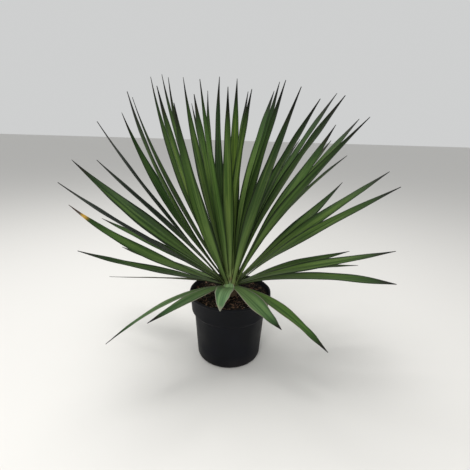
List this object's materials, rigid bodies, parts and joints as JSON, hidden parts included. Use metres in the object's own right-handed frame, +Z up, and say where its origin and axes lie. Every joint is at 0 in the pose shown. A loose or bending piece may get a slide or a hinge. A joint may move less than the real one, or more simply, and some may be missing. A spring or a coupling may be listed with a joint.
{
  "type": "potted yucca gloriosa",
  "caption": "Container-grown yucca: a rosette of stiff sword leaves with dark pointed tips, on a short stem in a round black nursery pot of bark soil.",
  "frame": {"origin": "on the surface that the pot stands on, at the pot's axis", "axes": "+Z up along the pot's axis; -Y towards the plant's front, where its short low leaf points; +X to the right as seen from the front"},
  "size_m": [1.0079, 0.7316, 0.8642],
  "materials": {
    "pot": "matt black blow-moulded nursery plastic, slightly dusty",
    "soil": "loose reddish brown composted bark with lighter flecks",
    "stem": "pale fibrous leaf bases over a short woody stem",
    "leaf": "waxy dark to mid green, finely striped lengthwise, with thin pale margins and dark brown tips"
  },
  "bodies": {
    "root": {"pot": "pot", "soil": "soil", "stem": "stem", "leaf_01": "leaf", "leaf_02": "leaf", "leaf_03": "leaf", "leaf_04": "leaf", "leaf_05": "leaf", "leaf_06": "leaf", "leaf_07": "leaf", "leaf_08": "leaf", "leaf_09": "leaf", "leaf_10": "leaf", "leaf_11": "leaf", "leaf_12": "leaf", "leaf_13": "leaf", "leaf_14": "leaf", "leaf_15": "leaf", "leaf_16": "leaf", "leaf_17": "leaf", "leaf_18": "leaf", "leaf_19": "leaf", "leaf_20": "leaf", "leaf_21": "leaf", "leaf_22": "leaf", "leaf_23": "leaf", "leaf_24": "leaf", "leaf_25": "leaf", "leaf_26": "leaf", "leaf_27": "leaf", "leaf_28": "leaf", "leaf_29": "leaf", "leaf_30": "leaf", "leaf_31": "leaf", "leaf_32": "leaf", "leaf_33": "leaf", "leaf_34": "leaf", "leaf_35": "leaf", "leaf_36": "leaf", "leaf_37": "leaf", "leaf_38": "leaf", "leaf_39": "leaf", "leaf_40": "leaf", "leaf_41": "leaf", "leaf_42": "leaf", "leaf_43": "leaf", "leaf_44": "leaf", "leaf_45": "leaf", "leaf_46": "leaf", "leaf_47": "leaf", "leaf_48": "leaf", "leaf_49": "leaf", "leaf_50": "leaf", "leaf_51": "leaf", "leaf_52": "leaf", "leaf_53": "leaf", "leaf_54": "leaf", "leaf_55": "leaf", "leaf_56": "leaf", "leaf_57": "leaf"}
  },
  "joints": []
}
